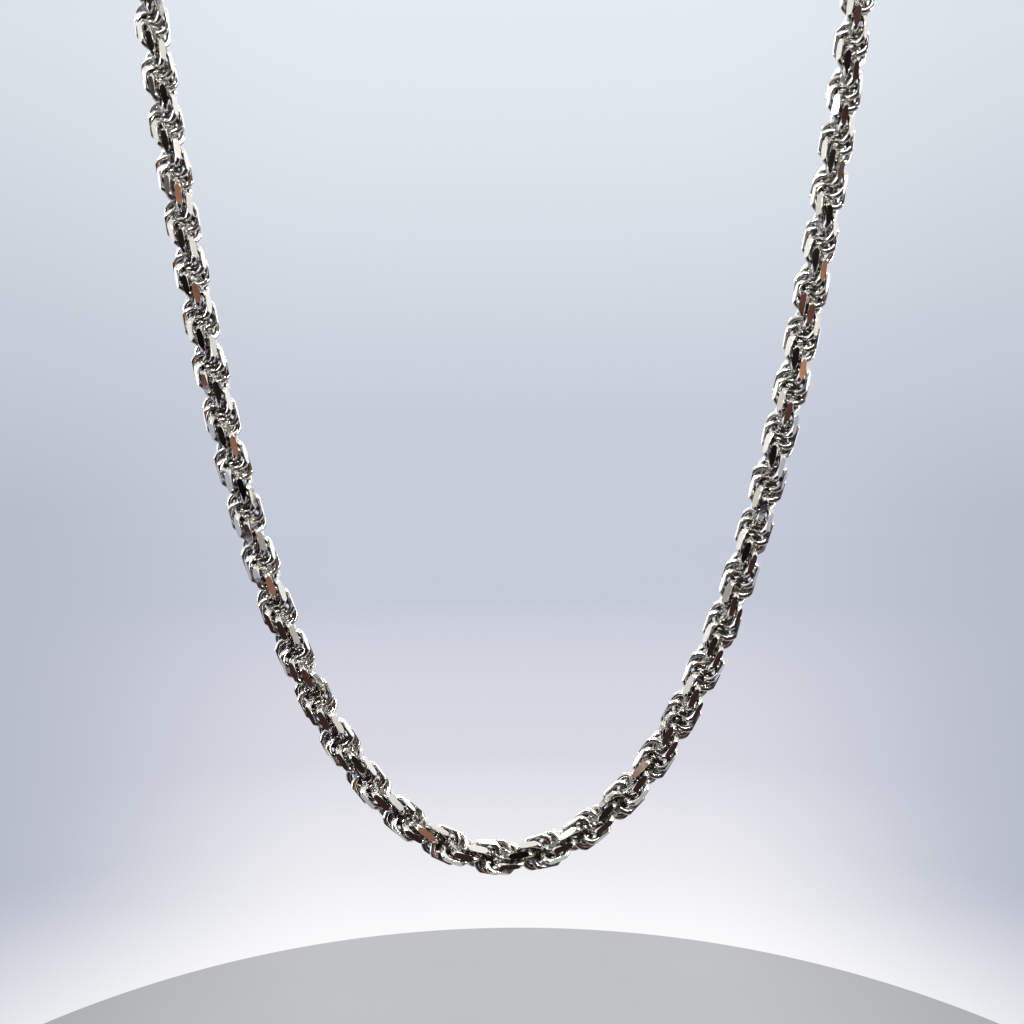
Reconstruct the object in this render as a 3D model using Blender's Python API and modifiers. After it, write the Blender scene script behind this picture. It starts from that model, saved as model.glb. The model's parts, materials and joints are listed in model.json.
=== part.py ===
"""A 4 mm diamond-cut rope chain necklace, 508 mm long, hung as a loop over a neck-sized form.

The loop lies in the XZ plane. Its front hangs as a catenary, its top follows the round form that
holds it up, and the closed lobster clasp lies flat at the top. The origin is where the top of the
loop rests on the form. Each rope length holds one full turn of the two twisted strands of links.
"""

import math

import bmesh
import bpy
from mathutils import Matrix, Vector

MM = 0.001

# Driving dimensions, in metres.
NECKLACE_LENGTH = 508 * MM
ROPE_RADIUS = 2.0 * MM
ROPE_WAIST = 1.35 * MM
CATENARY_A = 15.8 * MM
HANGING_LENGTHS = 14
HELD_LENGTHS = 6
ROPE_END_FROM_TOP = 13.3 * MM
JOINT_GAP = 0.3 * MM
# A little more than the joint gap, because the domes and cups are faceted.
CUP_GAP = 0.35 * MM

# The rope lengths' mesh.
SECTION_POINTS = 12
STATIONS = 7
DOME_ANGLE = math.radians(45)
CUP_SCALE = 0.5

# End caps: a turned cup with a flat loop on its closed end.
CAP_BORE_RADIUS = 2.3 * MM
CAP_RADIUS = 2.75 * MM
CAP_LIP_RADIUS = 2.95 * MM
CAP_LIP_HEIGHT = 0.6 * MM
CAP_LENGTH = 5.0 * MM
CAP_FLOOR = 0.8 * MM
# Radius, and depth below the closed end, of the points that round its shoulder.
CAP_SHOULDER = ((1.5 * MM, 0), (2.3 * MM, 0.3 * MM), (CAP_RADIUS, 1.0 * MM))
CAP_LIP_BEVEL = 0.1 * MM
CAP_LIP_SLOPE = 0.15 * MM
CAP_BORE_BEVEL = 0.3 * MM
CAP_LOOP_RADIUS = 1.7 * MM
CAP_LOOP_THICKNESS = 1.0 * MM
CAP_LOOP_RISE = 1.5 * MM
EYE_HOLE_RADIUS = 0.95 * MM

# Clasp. Its long axis is X, its flat sides face up and down, and x is measured from the loop's top.
CLASP_THICKNESS = 2.4 * MM
CLASP_EDGE = 0.35 * MM
CLAW_X = (-5.0 * MM, 7.6 * MM)
CLAW_HALF_WIDTH = 3.5 * MM
BOWL_X = (-0.6 * MM, 6.15 * MM)
BOWL_HALF_WIDTH = 1.9 * MM
EYE_X = -6.3 * MM
EYE_RADIUS = 1.9 * MM
EYE_THICKNESS = 1.2 * MM
NECK_WIDTH = 2.4 * MM
NECK_REACH = 1.2 * MM
MOUTH_X = (-0.7 * MM, 4.3 * MM)
MOUTH_Y = 0.9 * MM
SLOT_X = (-4.3 * MM, 0.2 * MM)
SLOT_Y = -0.7 * MM
SLOT_WIDTH = 1.5 * MM
PIVOT = (-1.9 * MM, 1.5 * MM)
PIN_RADIUS = 0.45 * MM
PIN_HOLE_RADIUS = 0.7 * MM
PIN_LENGTH = 2.4 * MM
LEVER_THICKNESS = 1.0 * MM
LEVER_X = (-1.2 * MM, 3.9 * MM)
LEVER_BOSS_RADIUS = 1.25 * MM
LEVER_INSET = 0.1 * MM
LEVER_MOUTH_GAP = 0.2 * MM
TAB_CENTRE = (-2.5 * MM, 3.5 * MM)
TAB_SIZE = (1.1 * MM, 2.6 * MM)
SPRING_THICKNESS = 0.2 * MM
SPRING_WIDTH = 1.0 * MM
SPRING_LENGTH = 2.8 * MM
SPRING_BOW = 0.15 * MM
EYE_WIRE_X = -6.15 * MM
CATCH_WIRE_X = 4.7 * MM
RING_WIRE_RADIUS = 0.45 * MM

# Keeps the faces of two parts that are united out of one plane.
HAIR = 0.01 * MM
# Past every face of the clasp, so that a cutter goes right through.
FAR = 10 * MM
ROUND_SEGMENTS = 24
SILVER = (0.83, 0.83, 0.84)
SPRING_STEEL = (0.62, 0.61, 0.6)


def loop_shape():
    """The arc length and the half-width of the hanging run, and the radius of the held arch.

    The arch meets the catenary in the same direction, and half the loop is half the necklace.
    """
    low, high = CATENARY_A, NECKLACE_LENGTH / 2
    for _ in range(60):
        run = (low + high) / 2
        lean = math.atan2(CATENARY_A, run)
        half_width = CATENARY_A * math.asinh(run / CATENARY_A)
        radius = half_width / math.cos(lean)
        if run + radius * (math.pi / 2 + lean) > NECKLACE_LENGTH / 2:
            high = run
        else:
            low = run
    return run, lean, radius


RUN, LEAN, ARCH_RADIUS = loop_shape()
ARCH_CENTRE_Z = ROPE_RADIUS - ARCH_RADIUS
BOTTOM_Z = ARCH_CENTRE_Z - ARCH_RADIUS * math.sin(LEAN) - math.hypot(CATENARY_A, RUN) + CATENARY_A
ROPE_LENGTHS = HANGING_LENGTHS + HELD_LENGTHS
PITCH = (NECKLACE_LENGTH / 2 - ROPE_END_FROM_TOP) / ROPE_LENGTHS
CLASP_Z = CLASP_THICKNESS / 2


def route(s):
    """The point and the upward direction on the right side, s metres along from the bottom."""
    if s <= RUN:
        slant = math.hypot(CATENARY_A, s)
        point = Vector((CATENARY_A * math.asinh(s / CATENARY_A), 0, BOTTOM_Z + slant - CATENARY_A))
        return point, Vector((CATENARY_A / slant, 0, s / slant))
    angle = (s - RUN) / ARCH_RADIUS - LEAN
    outward = Vector((math.cos(angle), 0, math.sin(angle)))
    point = Vector((0, 0, ARCH_CENTRE_Z)) + ARCH_RADIUS * outward
    return point, Vector((-math.sin(angle), 0, math.cos(angle)))


def frame_at(s, side):
    """The rope's point, upward direction, and the two directions across it, on side 1 or -1."""
    point, up = route(s)
    inward = Vector((-up.z * side, 0, up.x))
    point.x *= side
    up.x *= side
    return point, up, inward, up.cross(inward)


def new_object(name, mesh, collection):
    item = bpy.data.objects.new(name, mesh)
    collection.objects.link(item)
    return item


def metal(name, colour, roughness):
    material = bpy.data.materials.new(name)
    material.use_nodes = True
    shader = material.node_tree.nodes["Principled BSDF"]
    shader.inputs["Base Color"].default_value = (*colour, 1)
    shader.inputs["Roughness"].default_value = roughness
    shader.inputs["Metallic"].default_value = 1
    return material


def finish(item, collection, origin, colour=SILVER, roughness=0.12):
    """Gives a part its metal, smooth shading with crisp edges, its origin and its collection."""
    item.data.materials.clear()
    item.data.materials.append(metal(item.name + "_metal", colour, roughness))
    item.data.shade_smooth()
    item.data.set_sharp_from_angle(angle=math.radians(40))
    origin = Vector(origin)
    item.data.transform(Matrix.Translation(-origin))
    item.location = origin
    for old in list(item.users_collection):
        old.objects.unlink(item)
    collection.objects.link(item)
    return item


def make_collection(name):
    collection = bpy.data.collections.new(name)
    bpy.context.scene.collection.children.link(collection)
    return collection


def rope_ring(s, side, scale, along):
    """One section of the rope. along(radius) moves each of its points up the rope."""
    point, up, inward, across = frame_at(s, side)
    twist = -2 * math.pi * s / PITCH
    mean, swell = (ROPE_RADIUS + ROPE_WAIST) / 2, (ROPE_RADIUS - ROPE_WAIST) / 2
    ring = []
    for i in range(SECTION_POINTS):
        turn = 2 * math.pi * i / SECTION_POINTS
        radius = scale * (mean + swell * math.cos(2 * turn))
        outward = math.cos(turn + twist) * inward + math.sin(turn + twist) * across
        ring.append(point + radius * outward + along(radius) * up)
    return ring


def loft(name, rings, collection):
    """A closed skin over the rings. The first and the last are single points that close its ends."""
    mesh = bpy.data.meshes.new(name)
    skin = bmesh.new()
    rows = [[skin.verts.new(point) for point in ring] for ring in rings]
    first, last = rows[0][0], rows[-1][0]
    body = rows[1:-1]
    for i in range(SECTION_POINTS):
        skin.faces.new((first, body[0][i], body[0][i - 1]))
        for low, high in zip(body, body[1:]):
            skin.faces.new((low[i - 1], low[i], high[i], high[i - 1]))
        skin.faces.new((body[-1][i - 1], body[-1][i], last))
    bmesh.ops.recalc_face_normals(skin, faces=skin.faces)
    skin.to_mesh(mesh)
    skin.free()
    return new_object(name, mesh, collection)


def rope_length(number, side, collection):
    """One turn of the rope: a domed lower end, and an upper end cupped round the next one's dome."""
    name = f"{'right' if side > 0 else 'left'}_rope_length_{number:02d}"
    bottom, top = (number - 1) * PITCH, number * PITCH
    cup = ROPE_RADIUS + CUP_GAP

    def cupped(radius):
        return -math.sqrt(cup**2 - radius**2)

    def level(_):
        return 0

    rings = []
    if number == 1:
        bottom += JOINT_GAP / 2
        rings.append([frame_at(bottom, side)[0]])
    else:
        point, up = frame_at(bottom, side)[:2]
        rings.append([point - ROPE_RADIUS * up])
        drop = ROPE_RADIUS * math.sin(DOME_ANGLE)
        rings.append(rope_ring(bottom, side, math.cos(DOME_ANGLE), lambda _: -drop))
    last = number == ROPE_LENGTHS
    highest = top - JOINT_GAP if last else top - cup
    spacing = (highest - bottom) / (STATIONS - 1)
    for i in range(STATIONS - 1):
        rings.append(rope_ring(bottom + i * spacing, side, 1, level))
    if last:
        rings.append(rope_ring(highest, side, 1, level))
        rings.append([frame_at(highest, side)[0]])
    else:
        rings.append(rope_ring(top, side, 1, cupped))
        rings.append(rope_ring(top, side, CUP_SCALE, cupped))
        point, up = frame_at(top, side)[:2]
        rings.append([point - cup * up])
    return finish(loft(name, rings, collection), collection, frame_at(top, side)[0])


def box(name, x, y, z, collection):
    """A block from its limits along each axis."""
    bpy.ops.mesh.primitive_cube_add(size=1)
    item = bpy.context.object
    item.name = name
    low, high = Vector((x[0], y[0], z[0])), Vector((x[1], y[1], z[1]))
    item.data.transform(Matrix.Translation((low + high) / 2) @ Matrix.Diagonal((*(high - low), 1)))
    collection.objects.link(item)
    return item


def disc(name, centre, radii, thickness, collection, segments=ROUND_SEGMENTS):
    """A round or oval plate with its flat sides facing up and down."""
    bpy.ops.mesh.primitive_cylinder_add(vertices=segments, radius=1, depth=1)
    item = bpy.context.object
    item.name = name
    item.data.transform(Matrix.Translation(centre) @ Matrix.Diagonal((*radii, thickness, 1)))
    collection.objects.link(item)
    return item


def apply_modifiers(item):
    """Turns the object's evaluated shape into its own mesh."""
    shape = item.evaluated_get(bpy.context.evaluated_depsgraph_get())
    mesh = bpy.data.meshes.new_from_object(shape)
    item.modifiers.clear()
    item.data = mesh


def combine(item, operation, other):
    """Unites the item with another solid, cuts the other out of it, or keeps what they share."""
    modifier = item.modifiers.new(operation.lower(), "BOOLEAN")
    modifier.operation = operation
    modifier.solver = "EXACT"
    modifier.object = other
    apply_modifiers(item)


def rounded(item, width):
    """Breaks the item's sharp edges."""
    modifier = item.modifiers.new("soft_edges", "BEVEL")
    modifier.width = width
    modifier.segments = 2
    modifier.limit_method = "ANGLE"
    modifier.angle_limit = math.radians(50)
    apply_modifiers(item)


def oval(x, half_width):
    """The centre and radii of an oval plate that spans x."""
    return ((x[0] + x[1]) / 2, 0, CLASP_Z), ((x[1] - x[0]) / 2, half_width)


def as_cutter(item, cutters):
    item.hide_render = True
    item.display_type = "WIRE"
    for old in list(item.users_collection):
        old.objects.unlink(item)
    cutters.objects.link(item)
    return item


def end_cap(side, collection, cutters):
    """A cup soldered over the rope's end, with a flat loop for a jump ring on its closed end.

    It is turned and cut standing on its mouth, then placed, and its loop's centre is returned too.
    """
    floor = CAP_LENGTH - CAP_FLOOR
    profile = (
        (0, CAP_LENGTH),
        *((radius, CAP_LENGTH - depth) for radius, depth in CAP_SHOULDER),
        (CAP_RADIUS, CAP_LIP_HEIGHT),
        (CAP_LIP_RADIUS, CAP_LIP_HEIGHT - CAP_LIP_SLOPE),
        (CAP_LIP_RADIUS, CAP_LIP_BEVEL),
        (CAP_LIP_RADIUS - CAP_LIP_BEVEL, 0),
        (CAP_BORE_RADIUS, 0),
        (CAP_BORE_RADIUS, floor - CAP_BORE_BEVEL),
        (CAP_BORE_RADIUS - CAP_BORE_BEVEL, floor),
        (0, floor),
    )
    name = f"{'right' if side > 0 else 'left'}_end_cap"
    mesh = bpy.data.meshes.new(name)
    edges = [(i, i + 1) for i in range(len(profile) - 1)]
    mesh.from_pydata([(x, 0, z) for x, z in profile], edges, [])
    cap = new_object(name, mesh, collection)
    turned = cap.modifiers.new("turned", "SCREW")
    turned.steps = turned.render_steps = ROUND_SEGMENTS
    turned.use_merge_vertices = True
    turned.merge_threshold = 0.00001
    turned.use_normal_calculate = True
    apply_modifiers(cap)
    loop_z = CAP_LENGTH + CAP_LOOP_RISE
    flat = Matrix.Rotation(math.pi / 2, 4, "Y")
    place = Matrix.Translation((0, 0, loop_z)) @ flat
    loop = disc(name + "_loop", (0, 0, 0), (CAP_LOOP_RADIUS,) * 2, CAP_LOOP_THICKNESS, cutters)
    loop.data.transform(place)
    combine(cap, "UNION", as_cutter(loop, cutters))
    hole = disc(name + "_hole", (0, 0, 0), (EYE_HOLE_RADIUS,) * 2, FAR, cutters, 16)
    hole.data.transform(place)
    combine(cap, "DIFFERENCE", as_cutter(hole, cutters))
    middle = NECKLACE_LENGTH / 2 - ROPE_END_FROM_TOP - CAP_LENGTH / 2 + CAP_FLOOR + JOINT_GAP
    point, up, inward, across = frame_at(middle, side)
    turn = Matrix((inward, across, up)).transposed().to_4x4()
    mouth = point - CAP_LENGTH / 2 * up
    cap.data.transform(Matrix.Translation(mouth) @ turn)
    return finish(cap, collection, mouth), mouth + loop_z * up


def claw(collection, cutters):
    """The clasp's cast body: an eye, a slotted block for the lever, and the fixed hook."""
    centre, radii = oval(CLAW_X, CLAW_HALF_WIDTH)
    body = disc("lobster_clasp_body", centre, radii, CLASP_THICKNESS, collection, 40)
    centre, radii = oval(BOWL_X, BOWL_HALF_WIDTH)
    bowl = disc("bowl", centre, radii, FAR, cutters, 32)
    combine(body, "DIFFERENCE", as_cutter(bowl, cutters))
    across_gap = (CLASP_Z - FAR, CLASP_Z + FAR)
    mouth = box("mouth", MOUTH_X, (MOUTH_Y, FAR), across_gap, cutters)
    combine(body, "DIFFERENCE", as_cutter(mouth, cutters))
    rounded(body, CLASP_EDGE)
    eye = disc("eye", (EYE_X, 0, CLASP_Z), (EYE_RADIUS,) * 2, EYE_THICKNESS, cutters)
    combine(body, "UNION", as_cutter(eye, cutters))
    half = EYE_THICKNESS / 2
    neck_z = (CLASP_Z - half + HAIR, CLASP_Z + half - HAIR)
    neck_y = (-NECK_WIDTH / 2, NECK_WIDTH / 2)
    neck = box("neck", (EYE_X + EYE_HOLE_RADIUS, CLAW_X[0] + NECK_REACH), neck_y, neck_z, cutters)
    combine(body, "UNION", as_cutter(neck, cutters))
    hole = disc("eye_hole", (EYE_X, 0, CLASP_Z), (EYE_HOLE_RADIUS,) * 2, FAR, cutters, 16)
    combine(body, "DIFFERENCE", as_cutter(hole, cutters))
    slot_z = (CLASP_Z - SLOT_WIDTH / 2, CLASP_Z + SLOT_WIDTH / 2)
    slot = box("slot", SLOT_X, (SLOT_Y, FAR), slot_z, cutters)
    combine(body, "DIFFERENCE", as_cutter(slot, cutters))
    pin_hole = disc("pin_hole", (*PIVOT, CLASP_Z), (PIN_HOLE_RADIUS,) * 2, FAR, cutters, 16)
    combine(body, "DIFFERENCE", as_cutter(pin_hole, cutters))
    return finish(body, collection, (EYE_WIRE_X, 0, CLASP_Z))


def lever(collection, cutters):
    """The sprung lever that closes the hook, with its boss round the pin and its thumb tab."""
    centre, radii = oval(CLAW_X, CLAW_HALF_WIDTH)
    radii = (radii[0] - LEVER_INSET, radii[1] - LEVER_INSET)
    arm = disc("trigger_lever", centre, radii, LEVER_THICKNESS, collection, 40)
    centre, radii = oval(BOWL_X, BOWL_HALF_WIDTH)
    bowl = disc("lever_bowl", centre, radii, FAR, cutters, 32)
    combine(arm, "DIFFERENCE", as_cutter(bowl, cutters))
    everywhere = (CLASP_Z - FAR, CLASP_Z + FAR)
    window = box("lever_window", LEVER_X, (MOUTH_Y + LEVER_MOUTH_GAP, FAR), everywhere, cutters)
    combine(arm, "INTERSECT", as_cutter(window, cutters))
    half = LEVER_THICKNESS / 2
    boss = disc("boss", (*PIVOT, CLASP_Z), (LEVER_BOSS_RADIUS,) * 2, LEVER_THICKNESS, cutters)
    combine(arm, "UNION", as_cutter(boss, cutters))
    tab_x = (TAB_CENTRE[0] - TAB_SIZE[0] / 2, TAB_CENTRE[0] + TAB_SIZE[0] / 2)
    tab_y = (TAB_CENTRE[1] - TAB_SIZE[1] / 2, TAB_CENTRE[1] + TAB_SIZE[1] / 2)
    tab_z = (CLASP_Z - half + HAIR, CLASP_Z + half - HAIR)
    tab = box("tab", tab_x, tab_y, tab_z, cutters)
    combine(arm, "UNION", as_cutter(tab, cutters))
    hole = disc("lever_hole", (*PIVOT, CLASP_Z), (PIN_HOLE_RADIUS,) * 2, FAR, cutters, 16)
    combine(arm, "DIFFERENCE", as_cutter(hole, cutters))
    return finish(arm, collection, (*PIVOT, CLASP_Z))


def pin(collection):
    """The headless pin that the lever turns on, flush with the clasp's flat sides."""
    place = (*PIVOT, CLASP_Z)
    item = disc("rivet_pin", place, (PIN_RADIUS,) * 2, PIN_LENGTH, collection, 16)
    return finish(item, collection, place)


def leaf_spring(collection):
    """A bowed strip in the bottom of the slot, which pushes the lever shut."""
    curve = bpy.data.curves.new("lever_spring", "CURVE")
    curve.dimensions = "2D"
    curve.fill_mode = "BOTH"
    curve.extrude = SPRING_WIDTH / 2
    middle_y = PIVOT[1] - LEVER_BOSS_RADIUS - JOINT_GAP - SPRING_THICKNESS / 2
    steps = 6
    outline = []
    for sign in (-1, 1):
        edge = []
        for i in range(steps + 1):
            u = 2 * i / steps - 1
            x = PIVOT[0] + u * SPRING_LENGTH / 2
            edge.append((x, middle_y - SPRING_BOW * u * u + sign * SPRING_THICKNESS / 2))
        outline += edge if sign < 0 else edge[::-1]
    spline = curve.splines.new("POLY")
    spline.points.add(len(outline) - 1)
    for point, (x, y) in zip(spline.points, outline):
        point.co = (x, y, 0, 1)
    spline.use_cyclic_u = True
    source = new_object("spring_outline", curve, collection)
    shape = source.evaluated_get(bpy.context.evaluated_depsgraph_get())
    mesh = bpy.data.meshes.new_from_object(shape)
    bpy.data.objects.remove(source)
    welded = bmesh.new()
    welded.from_mesh(mesh)
    bmesh.ops.remove_doubles(welded, verts=welded.verts, dist=0.001 * MM)
    bmesh.ops.recalc_face_normals(welded, faces=welded.faces)
    welded.to_mesh(mesh)
    welded.free()
    mesh.transform(Matrix.Translation((0, 0, CLASP_Z)))
    strip = new_object("lever_spring", mesh, collection)
    return finish(strip, collection, (PIVOT[0], middle_y, CLASP_Z), SPRING_STEEL, 0.25)


def jump_ring(name, near, hinge, collection):
    """A soldered wire ring whose wire passes through near and through the cap's loop at hinge."""
    centre, radius = (near + hinge) / 2, (near - hinge).length / 2
    bpy.ops.mesh.primitive_torus_add(
        major_radius=radius,
        minor_radius=RING_WIRE_RADIUS,
        major_segments=28,
        minor_segments=8,
    )
    ring = bpy.context.object
    ring.name = name
    upright = Matrix.Rotation(math.pi / 2, 4, "X")
    ring.data.transform(Matrix.Translation(centre) @ upright)
    return finish(ring, collection, hinge)


def build():
    for item in list(bpy.data.objects):
        bpy.data.objects.remove(item)
    parts = make_collection("chain_necklace")
    cutters = make_collection("cutters")
    for side in (-1, 1):
        for number in range(1, ROPE_LENGTHS + 1):
            rope_length(number, side, parts)
    left_loop = end_cap(-1, parts, cutters)[1]
    right_loop = end_cap(1, parts, cutters)[1]
    claw(parts, cutters)
    lever(parts, cutters)
    pin(parts)
    leaf_spring(parts)
    jump_ring("clasp_jump_ring", Vector((EYE_WIRE_X, 0, CLASP_Z)), left_loop, parts)
    jump_ring("catch_jump_ring", Vector((CATCH_WIRE_X, 0, CLASP_Z)), right_loop, parts)


build()
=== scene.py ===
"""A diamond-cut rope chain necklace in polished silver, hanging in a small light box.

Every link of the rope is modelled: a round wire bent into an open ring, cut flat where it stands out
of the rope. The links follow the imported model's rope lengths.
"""

import json
import math
import random

import bmesh
import bpy
from mathutils import Euler, Matrix, Vector


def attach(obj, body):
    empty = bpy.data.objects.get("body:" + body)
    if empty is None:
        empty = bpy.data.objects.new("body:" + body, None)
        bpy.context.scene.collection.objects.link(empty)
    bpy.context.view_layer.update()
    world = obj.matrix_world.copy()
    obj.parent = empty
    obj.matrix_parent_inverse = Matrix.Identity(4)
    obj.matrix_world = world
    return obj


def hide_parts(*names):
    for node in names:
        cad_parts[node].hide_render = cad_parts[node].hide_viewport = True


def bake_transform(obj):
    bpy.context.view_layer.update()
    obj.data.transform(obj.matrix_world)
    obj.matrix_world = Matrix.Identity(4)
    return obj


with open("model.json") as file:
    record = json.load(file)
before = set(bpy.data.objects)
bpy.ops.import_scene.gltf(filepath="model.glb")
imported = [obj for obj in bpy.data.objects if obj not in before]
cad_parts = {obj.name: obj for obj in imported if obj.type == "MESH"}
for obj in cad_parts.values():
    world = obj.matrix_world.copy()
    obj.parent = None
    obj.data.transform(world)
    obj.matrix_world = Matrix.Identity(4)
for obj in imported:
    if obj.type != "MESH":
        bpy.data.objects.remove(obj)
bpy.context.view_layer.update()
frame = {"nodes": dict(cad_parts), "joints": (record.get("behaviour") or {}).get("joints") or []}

bl_info = {
    "name": "Rope Chain Necklace",
    "version": (1, 0, 0),
    "blender": (4, 5, 0),
    "location": "View3D > Sidebar > Necklace",
    "description": "Builds a diamond-cut rope chain on its packed model, with its light box",
    "category": "Add Mesh",
}

MM = 0.001

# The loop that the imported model's rope lengths follow: a hanging curve under a round arch.
NECKLACE_LENGTH = 508 * MM
ROPE_RADIUS = 2.0 * MM
CATENARY_A = 15.8 * MM
ROPE_END_FROM_TOP = 13.3 * MM
HANGING_LENGTHS = 14
ROPE_LENGTHS = 20
HELD_BODY = "held_neck_loop"
# How far round the rope's axis the strands stand at the bottom of the loop.
STRAND_PHASE = math.radians(-45)
# How far a joint may stand off the route before the links would miss their rope lengths.
ROUTE_TOLERANCE = 0.05 * MM
# The end caps cover this many links at each end of the rope.
LINKS_IN_CAP = 2

# Steps along a link's wire, and round and along the core.
WIRE_STEPS = 44
CORE_POINTS = 12
CORE_STEPS_PER_LINK = 4
# The core has its full size at each link, and twice this share less between two links.
CORE_RIDGE = 0.1

# Metal is painted darker, as tarnish and as painted shade, where other metal stands closer than this.
SHADOW_REACH = 1.2 * MM

# The plates' middle and the camera, off the loop's middle plane and over its lowest point.
PLATES_ASIDE = 2.7 * MM
CAMERA_ASIDE = 1.1 * MM
CAMERA_RISE = 41.8 * MM
SKIRT_HEIGHT = 1.8 * MM
FLOOR_DROP = 2 * MM
FLOOR_RADIUS = 4.0
# How far behind the platform the floor's painted glow takes to fade, and the painted bright spill at its
# edge.
GLOW_REACH = 0.87
SPILL_REACH = 0.08
FLAG_HALF_SIDE = 0.35
FLAG_AWAY = 0.36
# The box's open front, as half its width and height over its distance.
FRONT_HALF_WIDTH = 1.5
FRONT_HALF_HEIGHT = 0.75
# The light that the box and the room give the metal, over what the camera sees of them.
BOX_STRENGTH = 1.8
LAMPS_AIM_AT = Vector((0, 0, -0.17))


def loop_shape():
    """The arc length of the hanging run, its lean at the top, and the radius of the arch."""
    low, high = CATENARY_A, NECKLACE_LENGTH / 2
    for _ in range(60):
        run = (low + high) / 2
        lean = math.atan2(CATENARY_A, run)
        radius = CATENARY_A * math.asinh(run / CATENARY_A) / math.cos(lean)
        if run + radius * (math.pi / 2 + lean) > NECKLACE_LENGTH / 2:
            high = run
        else:
            low = run
    return run, lean, radius


RUN, LEAN, ARCH_RADIUS = loop_shape()
ARCH_CENTRE_Z = ROPE_RADIUS - ARCH_RADIUS
BOTTOM_Z = ARCH_CENTRE_Z - ARCH_RADIUS * math.sin(LEAN) - math.hypot(CATENARY_A, RUN) + CATENARY_A
TURN_LENGTH = (NECKLACE_LENGTH / 2 - ROPE_END_FROM_TOP) / ROPE_LENGTHS


def rope_frame(place):
    """The rope's axes at a place along it, in metres from the bottom and negative on the left.

    The columns are the way in towards the loop's middle, across it, and along it to the right.
    """
    side = -1 if place < 0 else 1
    s = abs(place)
    if s <= RUN:
        slant = math.hypot(CATENARY_A, s)
        x = CATENARY_A * math.asinh(s / CATENARY_A)
        z = BOTTOM_Z + slant - CATENARY_A
        along = Vector((CATENARY_A / slant, 0, side * s / slant))
    else:
        angle = (s - RUN) / ARCH_RADIUS - LEAN
        x = ARCH_RADIUS * math.cos(angle)
        z = ARCH_CENTRE_Z + ARCH_RADIUS * math.sin(angle)
        along = Vector((-math.sin(angle), 0, side * math.cos(angle)))
    inward = Vector((-along.z, 0, along.x))
    turn = Matrix((inward, along.cross(inward), along)).transposed()
    return Matrix.Translation((side * x, 0, z)) @ turn.to_4x4()


def check_route():
    """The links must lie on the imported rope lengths, so the hinges have to be on this route."""
    for joint in frame["joints"]:
        label = joint["name"][-2:]
        if label.isdigit():
            side = -1 if joint["name"].startswith("left") else 1
            centre = rope_frame(side * int(label) * TURN_LENGTH).translation
            if (centre - Vector(joint["pos_m"])).length > ROUTE_TOLERANCE:
                raise RuntimeError(f"{joint['name']} is off the rope's route")


def linear(hex_colour):
    """An sRGB hex colour as the linear values that shader sockets take."""
    channels = []
    for i in (1, 3, 5):
        value = int(hex_colour[i : i + 2], 16) / 255
        channels.append(value / 12.92 if value <= 0.04045 else ((value + 0.055) / 1.055) ** 2.4)
    return (*channels, 1)


def add_node(tree, kind, inputs=None, **settings):
    """Adds a node, gives it its settings, and sets or links its inputs."""
    node = tree.nodes.new(kind)
    for name, value in settings.items():
        setattr(node, name, value)
    for name, value in (inputs or {}).items():
        if isinstance(value, bpy.types.NodeSocket):
            tree.links.new(value, node.inputs[name])
        else:
            node.inputs[name].default_value = value
    return node


def new_material(name):
    """An empty node material and its tree."""
    material = bpy.data.materials.new(name)
    material.use_nodes = True
    material.node_tree.nodes.clear()
    return material, material.node_tree


def set_stops(ramp, stops):
    """Gives a colour ramp its positions and colours."""
    elements = ramp.color_ramp.elements
    while len(elements) < len(stops):
        elements.new(0.5)
    for element, (position, colour) in zip(elements, stops):
        element.position = position
        element.color = linear(colour)


def blend_colours(tree, factor, low, high):
    """Blends two linear colours, or the outputs of two nodes."""
    mix = add_node(tree, "ShaderNodeMix", {"Factor": factor, "A": low, "B": high}, data_type="RGBA")
    return mix.outputs["Result"]


def darker(colour, share):
    """A linear colour with this share of its light taken away."""
    return (*(value * (1 - share) for value in colour[:3]), 1)


def polished_metal(name, bright, dull, roughness, grain, dent, tarnish_and_shade=None):
    """Metal whose colour and roughness drift over grain metres, dented by dent metres.

    Where a tarnish colour is given, it darkens what other metal shuts in: tarnish, and painted shade in
    the recesses.
    """
    material, tree = new_material(name)
    place = add_node(tree, "ShaderNodeTexCoord").outputs["Object"]
    drift = add_node(tree, "ShaderNodeTexNoise", {"Vector": place, "Scale": 1 / grain, "Detail": 3})
    colour = blend_colours(tree, drift.outputs["Fac"], dull, bright)
    if tarnish_and_shade is not None:
        # Tarnish and painted shade: the colour darkens where other metal stands close.
        shut_in = add_node(
            tree, "ShaderNodeAmbientOcclusion", {"Distance": SHADOW_REACH}, samples=6
        )
        open_metal = add_node(
            tree,
            "ShaderNodeMapRange",
            {"Value": shut_in.outputs["AO"], "From Min": 0.08, "From Max": 0.62},
        )
        colour = blend_colours(tree, open_metal.outputs["Result"], tarnish_and_shade, colour)
    smooth, rough = roughness
    gloss = add_node(
        tree,
        "ShaderNodeMapRange",
        {"Value": drift.outputs["Fac"], "To Min": rough, "To Max": smooth},
    )
    fine = add_node(tree, "ShaderNodeTexNoise", {"Vector": place, "Scale": 4 / grain, "Detail": 2})
    bump = add_node(
        tree, "ShaderNodeBump", {"Height": fine.outputs["Fac"], "Distance": dent, "Strength": 1}
    )
    shader = add_node(
        tree,
        "ShaderNodeBsdfPrincipled",
        {
            "Base Color": colour,
            "Metallic": 1,
            "Roughness": gloss.outputs["Result"],
            "Normal": bump.outputs["Normal"],
        },
    )
    add_node(tree, "ShaderNodeOutputMaterial", {"Surface": shader.outputs["BSDF"]})
    return material


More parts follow.
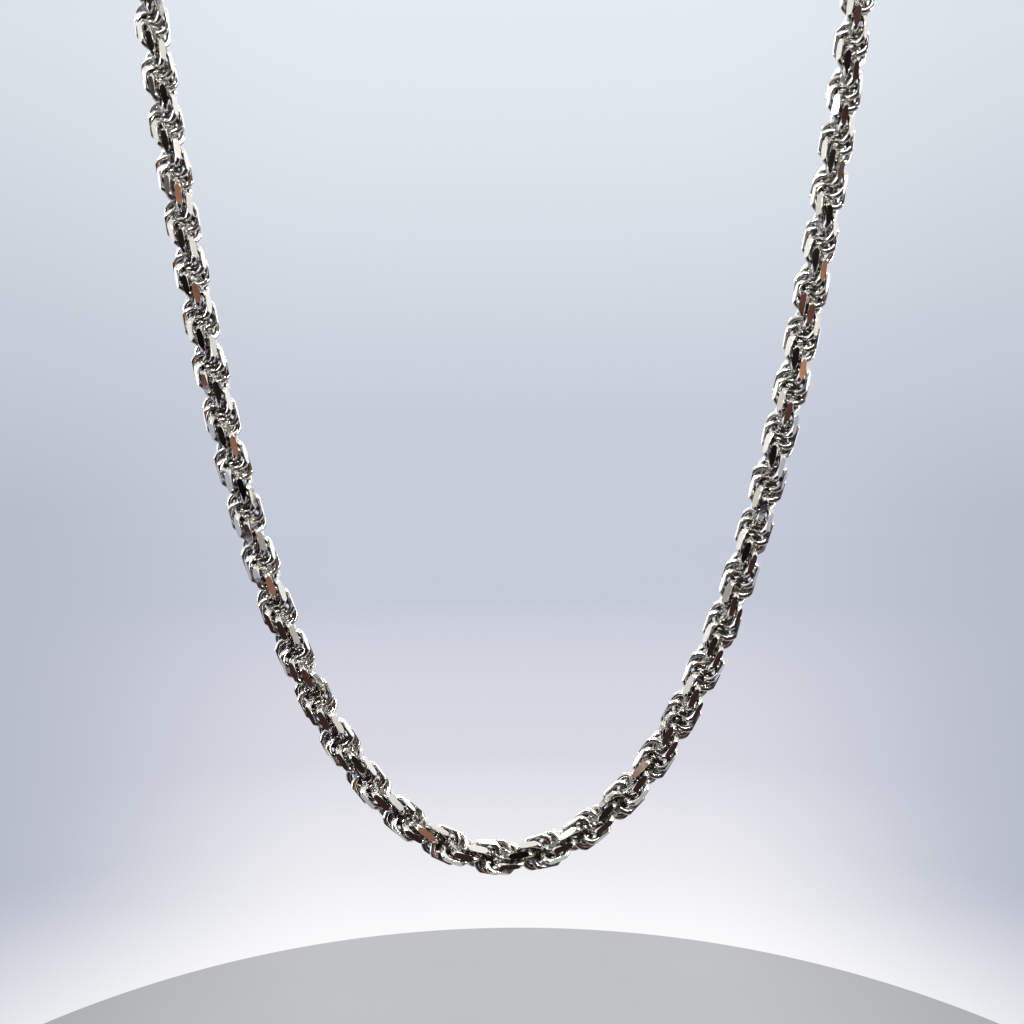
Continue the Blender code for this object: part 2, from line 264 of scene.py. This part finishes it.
def drawn_silver_wire(metal):
    """Sterling silver wire, drawn and tumbled: bright rounds that go warm and dull in the recesses, as
    tarnish and painted shade.
    """
    return polished_metal(
        "drawn_silver_wire",
        metal.wire_bright,
        metal.wire_dull,
        roughness=(0.05, 0.12),
        grain=0.9 * MM,
        dent=0.004 * MM,
        # Tarnish and painted shade in the wire's recesses.
        tarnish_and_shade=metal.wire_tarnish_and_shade,
    )


def diamond_cut_silver(metal):
    """Sterling silver sheared by a diamond tool: a mirror, with the faintest waver of the cut."""
    return polished_metal(
        "diamond_cut_silver",
        metal.facet,
        darker(metal.facet, 0.14),
        roughness=(0.02, 0.06),
        grain=1.6 * MM,
        dent=0.0015 * MM,
    )


def shadowed_silver(metal):
    """Silver wire deep in the rope: brown-black sulphide, and painted shade for the depth it stands at,
    with dull glints.
    """
    return polished_metal(
        "shadowed_silver",
        darker(metal.wire_dull, 0.6),
        darker(metal.wire_dull, 0.78),
        roughness=(0.16, 0.34),
        grain=0.5 * MM,
        dent=0.01 * MM,
        # Painted shade, darker still where other metal shuts it in.
        tarnish_and_shade=darker(metal.wire_tarnish_and_shade, 0.85),
    )


def cast_silver(metal):
    """Sterling silver, cast and barrel-polished: smooth, with soft dents and a slow drift of gloss."""
    return polished_metal(
        "cast_silver",
        metal.casting,
        darker(metal.casting, 0.19),
        roughness=(0.08, 0.18),
        grain=1.5 * MM,
        dent=0.006 * MM,
        # Tarnish and painted shade where other metal shuts the casting in.
        tarnish_and_shade=darker(metal.casting, 0.84),
    )


def spring_steel(metal):
    """Rolled spring steel: greyer than the silver, with a satin left by the rolls."""
    return polished_metal(
        "spring_steel",
        metal.spring,
        darker(metal.spring, 0.34),
        roughness=(0.2, 0.32),
        grain=0.5 * MM,
        dent=0.003 * MM,
    )


class NecklaceRopeSettings(bpy.types.PropertyGroup):
    """The sizes of the links and of the core they pack into"""

    wire_diameter: bpy.props.FloatProperty(
        name="Wire", description="Diameter of the links' wire", default=0.8 * MM, unit="LENGTH"
    )
    link_width: bpy.props.FloatProperty(
        name="Width", description="Outside width of a link", default=3.7 * MM, unit="LENGTH"
    )
    link_length: bpy.props.FloatProperty(
        name="Length", description="Outside length of a link", default=3.95 * MM, unit="LENGTH"
    )
    link_squareness: bpy.props.FloatProperty(
        name="Squareness", description="2 for a round link, more for a flatter outer side", default=2.3
    )
    link_offset: bpy.props.FloatProperty(
        name="Offset", description="From rope's axis to link's centre", default=0.5 * MM, unit="LENGTH"
    )
    cut_radius: bpy.props.FloatProperty(
        name="Cut", description="From the rope's axis to the cut facets", default=2.0 * MM, unit="LENGTH"
    )
    links_per_turn: bpy.props.IntProperty(
        name="Links per turn", description="Links of both strands in one turn of the rope", default=20
    )
    opening: bpy.props.FloatProperty(
        name="Opening", description="Angle of the gap in a link", default=0.6, subtype="ANGLE"
    )
    core_width: bpy.props.FloatProperty(
        name="Core", description="Width of the packed core across both strands", default=2.5 * MM,
        unit="LENGTH",
    )
    core_thickness: bpy.props.FloatProperty(
        name="Core thickness", description="Thickness of the packed core", default=1.4 * MM,
        unit="LENGTH",
    )
    unevenness: bpy.props.FloatProperty(
        name="Unevenness", description="Random turn of each link", default=0.04, subtype="ANGLE"
    )


class NecklaceMetalSettings(bpy.types.PropertyGroup):
    """The colours of the metals"""

    wire_bright: bpy.props.FloatVectorProperty(
        name="Wire, bright", description="Rubbed silver wire", default=linear("#E6E5E1"), size=4,
        subtype="COLOR",
    )
    wire_dull: bpy.props.FloatVectorProperty(
        name="Wire, dull", description="Silver wire that is less rubbed", default=linear("#CCCAC4"),
        size=4, subtype="COLOR",
    )
    # The colour of tarnish and painted shade in the wire's recesses.
    wire_tarnish_and_shade: bpy.props.FloatVectorProperty(
        name="Wire, tarnished", description="Silver wire in the recesses", default=linear("#3A2F20"),
        size=4, subtype="COLOR",
    )
    facet: bpy.props.FloatVectorProperty(
        name="Facet", description="Freshly cut silver", default=linear("#F0EDE8"), size=4,
        subtype="COLOR",
    )
    casting: bpy.props.FloatVectorProperty(
        name="Casting", description="Cast silver of the clasp and caps", default=linear("#EFECE6"),
        size=4, subtype="COLOR",
    )
    spring: bpy.props.FloatVectorProperty(
        name="Spring", description="Steel of the lever's spring", default=linear("#B4B2AE"), size=4,
        subtype="COLOR",
    )


class NecklaceStageSettings(bpy.types.PropertyGroup):
    """The sizes and colours of the light box, and the camera's place"""

    platform_radius: bpy.props.FloatProperty(
        name="Platform", description="Radius of the platform", default=99 * MM, unit="LENGTH"
    )
    platform_drop: bpy.props.FloatProperty(
        name="Drop", description="Platform below the rope's lowest point", default=44 * MM, unit="LENGTH"
    )
    camera_distance: bpy.props.FloatProperty(
        name="Camera", description="Camera to necklace", default=133 * MM, unit="LENGTH"
    )
    picture_width: bpy.props.FloatProperty(
        name="Picture", description="Width in view at the necklace", default=124 * MM, unit="LENGTH"
    )
    platform_colour: bpy.props.FloatVectorProperty(
        name="Platform colour", description="Matt plastic of the platform", default=linear("#C4C5C9"),
        size=4, subtype="COLOR",
    )
    # Painted shade of the floor towards the box's side walls.
    side_shade_colour: bpy.props.FloatVectorProperty(
        name="Side colour", description="Floor towards the box's side walls", default=linear("#B8BDCC"),
        size=4, subtype="COLOR",
    )


def wire_link(settings):
    """One link as a mesh, with the rope's axis through its origin along Z and its outer side at +X.

    Its wire opens on the inner side. Its outer side is cut flat, and the cut is material slot 1.
    """
    wire = settings.wire_diameter / 2
    half_width = settings.link_width / 2 - wire
    half_length = settings.link_length / 2 - wire
    power = 2 / settings.link_squareness
    curve = bpy.data.curves.new("link_wire", "CURVE")
    curve.dimensions = "3D"
    curve.bevel_depth = wire
    curve.bevel_resolution = 2
    curve.use_fill_caps = True
    spline = curve.splines.new("POLY")
    spline.points.add(WIRE_STEPS)
    for i, point in enumerate(spline.points):
        angle = (settings.opening / 2 - math.pi) + (math.tau - settings.opening) * i / WIRE_STEPS
        out, up = math.cos(angle), math.sin(angle)
        if out > 0:
            out, up = out**power, math.copysign(abs(up) ** power, up)
        point.co = (half_width * out, 0, half_length * up, 1)
    source = bpy.data.objects.new("link_wire", curve)
    bpy.context.scene.collection.objects.link(source)
    shape = source.evaluated_get(bpy.context.evaluated_depsgraph_get())
    mesh = bpy.data.meshes.new_from_object(shape)
    bpy.data.objects.remove(source)
    mesh.transform(Matrix.Translation((settings.link_offset, 0, 0)))
    link = bmesh.new()
    link.from_mesh(mesh)
    bmesh.ops.remove_doubles(link, verts=link.verts, dist=0.001 * MM)
    for face in link.faces:
        face.smooth = True
    cut = bmesh.ops.bisect_plane(
        link,
        geom=link.verts[:] + link.edges[:] + link.faces[:],
        plane_co=(settings.cut_radius, 0, 0),
        plane_no=(1, 0, 0),
        clear_outer=True,
    )
    rim = [item for item in cut["geom_cut"] if isinstance(item, bmesh.types.BMEdge)]
    for facet in bmesh.ops.edgeloop_fill(link, edges=rim)["faces"]:
        facet.material_index = 1
        facet.smooth = False
    for edge in rim:
        edge.smooth = False
    link.to_mesh(mesh)
    link.free()
    return mesh


def lay_core(joined, places, settings):
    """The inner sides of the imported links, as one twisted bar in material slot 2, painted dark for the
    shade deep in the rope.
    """
    rows = []
    for step in range(places.start * CORE_STEPS_PER_LINK, places.stop * CORE_STEPS_PER_LINK + 1):
        number = step / CORE_STEPS_PER_LINK
        about = STRAND_PHASE - number * math.tau / settings.links_per_turn
        place = rope_frame(number * TURN_LENGTH / settings.links_per_turn)
        turned = place @ Matrix.Rotation(about, 4, "Z")
        ridge = 1 - CORE_RIDGE + CORE_RIDGE * math.cos(math.tau * step / CORE_STEPS_PER_LINK)
        row = []
        for i in range(CORE_POINTS):
            angle = math.tau * i / CORE_POINTS
            x = ridge * settings.core_width / 2 * math.cos(angle)
            y = ridge * settings.core_thickness / 2 * math.sin(angle)
            row.append(joined.verts.new(turned @ Vector((x, y, 0))))
        rows.append(row)
    faces = [joined.faces.new(rows[0]), joined.faces.new(rows[-1][::-1])]
    for low, high in zip(rows, rows[1:]):
        for i in range(CORE_POINTS):
            faces.append(joined.faces.new((low[i - 1], high[i - 1], high[i], low[i])))
    for face in faces:
        face.material_index = 2
        face.smooth = True
    bmesh.ops.recalc_face_normals(joined, faces=faces)


def lay_links(name, places, link, settings, materials):
    """Sets links at these places along the rope, numbered from the bottom, as one object."""
    turn_per_link = math.tau / settings.links_per_turn
    joined = bmesh.new()
    for number in places:
        place = (number + 0.5) * TURN_LENGTH / settings.links_per_turn
        shake = random.Random(number)
        wobble = Euler([shake.gauss(0, settings.unevenness) for _ in range(3)])
        about = STRAND_PHASE - (number + 0.5) * turn_per_link + number * math.pi
        before = len(joined.verts)
        joined.from_mesh(link)
        joined.verts.ensure_lookup_table()
        centre = Matrix.Translation((settings.link_offset, 0, 0))
        spin = centre @ wobble.to_matrix().to_4x4() @ centre.inverted()
        bmesh.ops.transform(
            joined,
            matrix=rope_frame(place) @ Matrix.Rotation(about, 4, "Z") @ spin,
            verts=joined.verts[before:],
        )
    lay_core(joined, places, settings)
    mesh = bpy.data.meshes.new(name)
    joined.to_mesh(mesh)
    joined.free()
    piece = bpy.data.objects.new(name, mesh)
    bpy.context.scene.collection.objects.link(piece)
    for material in materials:
        mesh.materials.append(material)
    return piece


class NECKLACE_OT_rope(bpy.types.Operator):
    """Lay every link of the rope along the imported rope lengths"""

    bl_idname = "necklace.rope"
    bl_label = "Rope Links"

    def execute(self, context):
        check_route()
        settings = context.scene.necklace_rope
        link = wire_link(settings)
        metal = context.scene.necklace_metal
        materials = (drawn_silver_wire(metal), diamond_cut_silver(metal), shadowed_silver(metal))
        per_turn = settings.links_per_turn
        half = per_turn // 2
        for side, word in ((-1, "left"), (1, "right")):

            def numbers(first, last):
                low, high = sorted((side * first, side * last))
                return range(low, high)

            def node(k):
                return f"{word}_rope_length_{k:02d}"

            bottom = lay_links(f"{word}_bottom_links", numbers(0, half), link, settings, materials)
            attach(bottom, f"{word}_length_01")
            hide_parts(node(1))
            for k in range(1, HANGING_LENGTHS + 1):
                reach = numbers(half + (k - 1) * per_turn, half + k * per_turn)
                piece = lay_links(f"{word}_links_{k:02d}", reach, link, settings, materials)
                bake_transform(piece)
                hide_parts(node(k))
            last = ROPE_LENGTHS * per_turn - LINKS_IN_CAP
            reach = numbers(half + HANGING_LENGTHS * per_turn, last)
            held = lay_links(f"{word}_held_links", reach, link, settings, materials)
            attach(held, HELD_BODY)
            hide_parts(*(node(k) for k in range(HANGING_LENGTHS + 1, ROPE_LENGTHS + 1)))
        bpy.data.meshes.remove(link)
        return {"FINISHED"}


class NECKLACE_OT_findings(bpy.types.Operator):
    """Give the end caps, the rings and the clasp their metal"""

    bl_idname = "necklace.findings"
    bl_label = "Clasp and Caps"

    def execute(self, context):
        silver = cast_silver(context.scene.necklace_metal)
        steel = spring_steel(context.scene.necklace_metal)
        for name, node in frame["nodes"].items():
            if "rope" in name:
                continue
            node.data.materials.clear()
            node.data.materials.append(steel if "spring" in name else silver)
        return {"FINISHED"}


class NECKLACE_OT_light_box(bpy.types.Operator):
    """Set the platform, the floor, the soft light and the camera"""

    bl_idname = "necklace.light_box"
    bl_label = "Light Box"

    def execute(self, context):
        settings = context.scene.necklace_stage
        floor_z = BOTTOM_Z - ROPE_RADIUS - settings.platform_drop
        self.add_floor(settings, floor_z)
        self.add_flag(floor_z)
        self.add_world(context)
        self.add_lights()
        camera = bpy.data.cameras.new("camera")
        camera.lens = camera.sensor_width * settings.camera_distance / settings.picture_width
        view = bpy.data.objects.new("camera", camera)
        view.location = (CAMERA_ASIDE, -settings.camera_distance, BOTTOM_Z + CAMERA_RISE)
        view.rotation_euler = (math.pi / 2, 0, 0)
        context.scene.collection.objects.link(view)
        context.scene.camera = view
        context.scene.view_settings.view_transform = "Standard"
        return {"FINISHED"}

    def add_floor(self, settings, floor_z):
        """A round grey platform on a wide pale floor whose painted glow brightens round it."""
        rim = settings.platform_radius
        for name, radius, drop in (("platform", rim, 0), ("floor", FLOOR_RADIUS, FLOOR_DROP)):
            plate = bmesh.new()
            bmesh.ops.create_circle(plate, cap_ends=True, segments=192, radius=radius)
            if name == "platform":
                skirt = bmesh.ops.extrude_face_region(plate, geom=plate.faces[:])
                down = [v for v in skirt["geom"] if isinstance(v, bmesh.types.BMVert)]
                bmesh.ops.translate(plate, verts=down, vec=(0, 0, -SKIRT_HEIGHT))
                bmesh.ops.recalc_face_normals(plate, faces=plate.faces)
            mesh = bpy.data.meshes.new(name)
            plate.to_mesh(mesh)
            plate.free()
            item = bpy.data.objects.new(name, mesh)
            item.location = (PLATES_ASIDE, 0, floor_z - drop)
            bpy.context.scene.collection.objects.link(item)
            paint = self.platform_paint if name == "platform" else self.floor_glow
            mesh.materials.append(paint(settings))

    def add_flag(self, floor_z):
        """A dim brown card lying in front, which the metal sees and the camera does not."""
        card = bmesh.new()
        bmesh.ops.create_grid(card, x_segments=1, y_segments=1, size=FLAG_HALF_SIDE)
        bmesh.ops.translate(card, verts=card.verts, vec=(0, -FLAG_AWAY, floor_z + 1 * MM))
        mesh = bpy.data.meshes.new("flag")
        card.to_mesh(mesh)
        card.free()
        item = bpy.data.objects.new("flag", mesh)
        item.visible_camera = False
        bpy.context.scene.collection.objects.link(item)
        material, tree = new_material("brown_card")
        place = add_node(tree, "ShaderNodeTexCoord").outputs["Object"]
        patches = add_node(tree, "ShaderNodeTexNoise", {"Vector": place, "Scale": 9, "Detail": 2})
        colour = blend_colours(tree, patches.outputs["Fac"], linear("#1A1311"), linear("#4E3735"))
        glow = add_node(tree, "ShaderNodeEmission", {"Color": colour, "Strength": 1})
        add_node(tree, "ShaderNodeOutputMaterial", {"Surface": glow.outputs["Emission"]})
        mesh.materials.append(material)

    def platform_paint(self, settings):
        """Matt grey plastic, moulded: a faint cloudiness and no shine, glowing at its own colour, with
        painted shade towards the box's sides.
        """
        material, tree = new_material("matt_grey_plastic")
        place = add_node(tree, "ShaderNodeTexCoord").outputs["Object"]
        cloud = add_node(tree, "ShaderNodeTexNoise", {"Vector": place, "Scale": 40, "Detail": 4})
        cloudy = darker(settings.platform_colour, 0.07)
        mottled = blend_colours(tree, cloud.outputs["Fac"], cloudy, settings.platform_colour)
        parts = add_node(tree, "ShaderNodeSeparateXYZ", {"Vector": place})
        # Painted shade: darker towards the box's side walls, which the lamps light less.
        off = self.towards_sides(tree, parts.outputs["X"], parts.outputs["Y"], 0.22)
        colour = blend_colours(tree, off, mottled, darker(settings.platform_colour, 0.32))
        glow = add_node(tree, "ShaderNodeEmission", {"Color": colour, "Strength": 1})
        add_node(tree, "ShaderNodeOutputMaterial", {"Surface": glow.outputs["Emission"]})
        return material

    def floor_glow(self, settings):
        """Pale floor with its light painted on: a painted glow, brightest behind the platform, and
        cooler away from it.
        """
        material, tree = new_material("pale_floor_painted_glow")
        rim = settings.platform_radius
        place = add_node(tree, "ShaderNodeTexCoord").outputs["Object"]
        reach = add_node(tree, "ShaderNodeVectorMath", {0: place}, operation="LENGTH")
        near = add_node(
            tree,
            "ShaderNodeMapRange",
            {"Value": reach.outputs["Value"], "From Min": rim, "From Max": rim + GLOW_REACH},
        )
        ramp = add_node(tree, "ShaderNodeValToRGB", {"Fac": near.outputs["Result"]})
        set_stops(ramp, ((0, "#FCFCFD"), (0.06, "#EEEEF2"), (0.2, "#D9DAE4"), (1, "#C6CBD9")))
        parts = add_node(tree, "ShaderNodeSeparateXYZ", {"Vector": place})
        depth = add_node(
            tree,
            "ShaderNodeMath",
            {0: parts.outputs["Y"], 1: settings.camera_distance},
            operation="ADD",
        )
        # Painted shade towards the box's sides, halved in the painted spill at the platform's edge.
        off = self.towards_sides(tree, parts.outputs["X"], depth.outputs["Value"], 0.25)
        spill = add_node(
            tree,
            "ShaderNodeMapRange",
            {
                "Value": reach.outputs["Value"],
                "From Min": rim,
                "From Max": rim + SPILL_REACH,
                "To Min": 0.5,
                "To Max": 1,
            },
        )
        off = add_node(
            tree, "ShaderNodeMath", {0: off, 1: spill.outputs["Result"]}, operation="MULTIPLY"
        )
        colour = blend_colours(tree, off.outputs["Value"], ramp.outputs["Color"], settings.side_shade_colour)
        glow = add_node(tree, "ShaderNodeEmission", {"Color": colour, "Strength": 1})
        add_node(tree, "ShaderNodeOutputMaterial", {"Surface": glow.outputs["Emission"]})
        return material

    def towards_sides(self, tree, across, depth, least):
        """0 in the middle of the box and 1 at its side walls, which the lamps light less.

        The two sockets give a place or a way across the box and into it.
        """
        aside = add_node(tree, "ShaderNodeMath", {0: across}, operation="ABSOLUTE")
        depth = add_node(tree, "ShaderNodeMath", {0: depth, 1: least}, operation="MAXIMUM")
        slope = add_node(
            tree,
            "ShaderNodeMath",
            {0: aside.outputs["Value"], 1: depth.outputs["Value"]},
            operation="DIVIDE",
        )
        off = add_node(
            tree,
            "ShaderNodeMapRange",
            {"Value": slope.outputs["Value"], "From Min": 0.15, "From Max": 0.5},
            interpolation_type="SMOOTHSTEP",
        )
        return off.outputs["Result"]

    def add_world(self, context):
        """Pale walls and a bright ceiling, and a dim brown room beyond the box's open front."""
        world = bpy.data.worlds.new("light_box")
        context.scene.world = world
        world.use_nodes = True
        tree = world.node_tree
        tree.nodes.clear()
        way = add_node(tree, "ShaderNodeTexCoord").outputs["Generated"]
        parts = add_node(tree, "ShaderNodeSeparateXYZ", {"Vector": way})
        rise = add_node(
            tree, "ShaderNodeMapRange", {"Value": parts.outputs["Z"], "From Min": 0, "From Max": 0.42}
        )
        seen = add_node(tree, "ShaderNodeValToRGB", {"Fac": rise.outputs["Result"]})
        set_stops(seen, ((0.2, "#C7CDDA"), (0.75, "#DEE5EC"), (1, "#E4EBF2")))
        dim = add_node(tree, "ShaderNodeValToRGB", {"Fac": rise.outputs["Result"]})
        set_stops(dim, ((0, "#B8BDCC"), (0.9, "#DBE2E9")))
        # The backdrop that the camera sees gets painted shade towards the box's side walls.
        off = self.towards_sides(tree, parts.outputs["X"], parts.outputs["Y"], 0.01)
        backdrop = blend_colours(tree, off, seen.outputs["Color"], dim.outputs["Color"])
        wide = add_node(tree, "ShaderNodeMath", {0: parts.outputs["X"]}, operation="ABSOLUTE")
        high = add_node(tree, "ShaderNodeMath", {0: parts.outputs["Z"]}, operation="ABSOLUTE")
        wide = add_node(
            tree, "ShaderNodeMath", {0: wide.outputs["Value"], 1: FRONT_HALF_WIDTH}, operation="DIVIDE"
        )
        high = add_node(
            tree, "ShaderNodeMath", {0: high.outputs["Value"], 1: FRONT_HALF_HEIGHT}, operation="DIVIDE"
        )
        edge = add_node(
            tree,
            "ShaderNodeMath",
            {0: wide.outputs["Value"], 1: high.outputs["Value"]},
            operation="MAXIMUM",
        )
        walls_from = add_node(
            tree,
            "ShaderNodeMath",
            {0: edge.outputs["Value"], 1: parts.outputs["Y"]},
            operation="ADD",
        )
        wall = add_node(
            tree,
            "ShaderNodeMapRange",
            {"Value": walls_from.outputs["Value"], "From Min": -0.08, "From Max": 0.08},
        )
        clutter = add_node(tree, "ShaderNodeTexNoise", {"Vector": way, "Scale": 3.2, "Detail": 1})
        room = add_node(tree, "ShaderNodeValToRGB", {"Fac": clutter.outputs["Fac"]})
        set_stops(room, ((0.4, "#050505"), (0.5, "#1A1512"), (0.61, "#543731"), (0.7, "#A07456")))
        behind = add_node(
            tree, "ShaderNodeMapRange", {"Value": parts.outputs["Y"], "From Min": -0.3, "From Max": 0.6}
        )
        sides = blend_colours(tree, behind.outputs["Result"], linear("#B2B0AC"), linear("#E6EAF0"))
        above = add_node(
            tree, "ShaderNodeMapRange", {"Value": parts.outputs["Z"], "From Min": 0.3, "From Max": 0.8}
        )
        box = blend_colours(tree, above.outputs["Result"], sides, linear("#C6C7C3"))
        shut = blend_colours(tree, wall.outputs["Result"], room.outputs["Color"], box)
        rays = add_node(tree, "ShaderNodeLightPath")
        shown = blend_colours(tree, rays.outputs["Is Camera Ray"], shut, backdrop)
        strength = add_node(
            tree,
            "ShaderNodeMapRange",
            {"Value": rays.outputs["Is Camera Ray"], "To Min": BOX_STRENGTH, "To Max": 1},
        )
        sky = add_node(
            tree,
            "ShaderNodeBackground",
            {"Color": shown, "Strength": strength.outputs["Result"]},
        )
        add_node(tree, "ShaderNodeOutputWorld", {"Surface": sky.outputs["Background"]})

    def add_lights(self):
        """Two lamp strips over the box's front, one over its back, and a soft panel on each side."""
        for name, place, size, power, tint in (
            ("left_strip", (-0.12, -0.2, 0.05), (0.2, 0.01), 0.8, "#FFFFFF"),
            ("right_strip", (0.12, -0.2, 0.05), (0.2, 0.01), 0.8, "#FFFFFF"),
            ("back_strip", (0, 0.25, 0.08), (0.4, 0.02), 0.6, "#F4F6FF"),
            ("left_panel", (-0.4, -0.1, -0.15), (0.03, 0.3), 0.6, "#F4F6FF"),
            ("right_panel", (0.4, -0.1, -0.15), (0.03, 0.3), 0.9, "#FFF2DE"),
        ):
            lamp = bpy.data.lights.new(name, "AREA")
            lamp.shape = "RECTANGLE"
            lamp.size, lamp.size_y = size
            lamp.energy = power
            lamp.color = linear(tint)[:3]
            item = bpy.data.objects.new(name, lamp)
            item.location = place
            aim = LAMPS_AIM_AT - Vector(place)
            item.rotation_euler = aim.to_track_quat("-Z", "Y").to_euler()
            item.visible_camera = False
            bpy.context.scene.collection.objects.link(item)


class NECKLACE_PT_panel(bpy.types.Panel):
    """Lists the necklace's sizes and colours, and the operators that make it"""

    bl_label = "Rope Chain Necklace"
    bl_idname = "NECKLACE_PT_panel"
    bl_space_type = "VIEW_3D"
    bl_region_type = "UI"
    bl_category = "Necklace"

    def draw(self, context):
        scene = context.scene
        for group in (scene.necklace_rope, scene.necklace_metal, scene.necklace_stage):
            box = self.layout.box()
            for name in type(group).__annotations__:
                box.prop(group, name)
        for operator in OPERATORS:
            self.layout.operator(operator.bl_idname)


OPERATORS = (NECKLACE_OT_rope, NECKLACE_OT_findings, NECKLACE_OT_light_box)
SETTINGS = (NecklaceRopeSettings, NecklaceMetalSettings, NecklaceStageSettings)
CLASSES = (*SETTINGS, *OPERATORS, NECKLACE_PT_panel)


def register():
    for item in CLASSES:
        bpy.utils.register_class(item)
    bpy.types.Scene.necklace_rope = bpy.props.PointerProperty(type=NecklaceRopeSettings)
    bpy.types.Scene.necklace_metal = bpy.props.PointerProperty(type=NecklaceMetalSettings)
    bpy.types.Scene.necklace_stage = bpy.props.PointerProperty(type=NecklaceStageSettings)


def unregister():
    del bpy.types.Scene.necklace_stage
    del bpy.types.Scene.necklace_metal
    del bpy.types.Scene.necklace_rope
    for item in reversed(CLASSES):
        bpy.utils.unregister_class(item)


def main():
    register()
    bpy.ops.necklace.rope()
    bpy.ops.necklace.findings()
    bpy.ops.necklace.light_box()


if __name__ == "__main__":
    main()
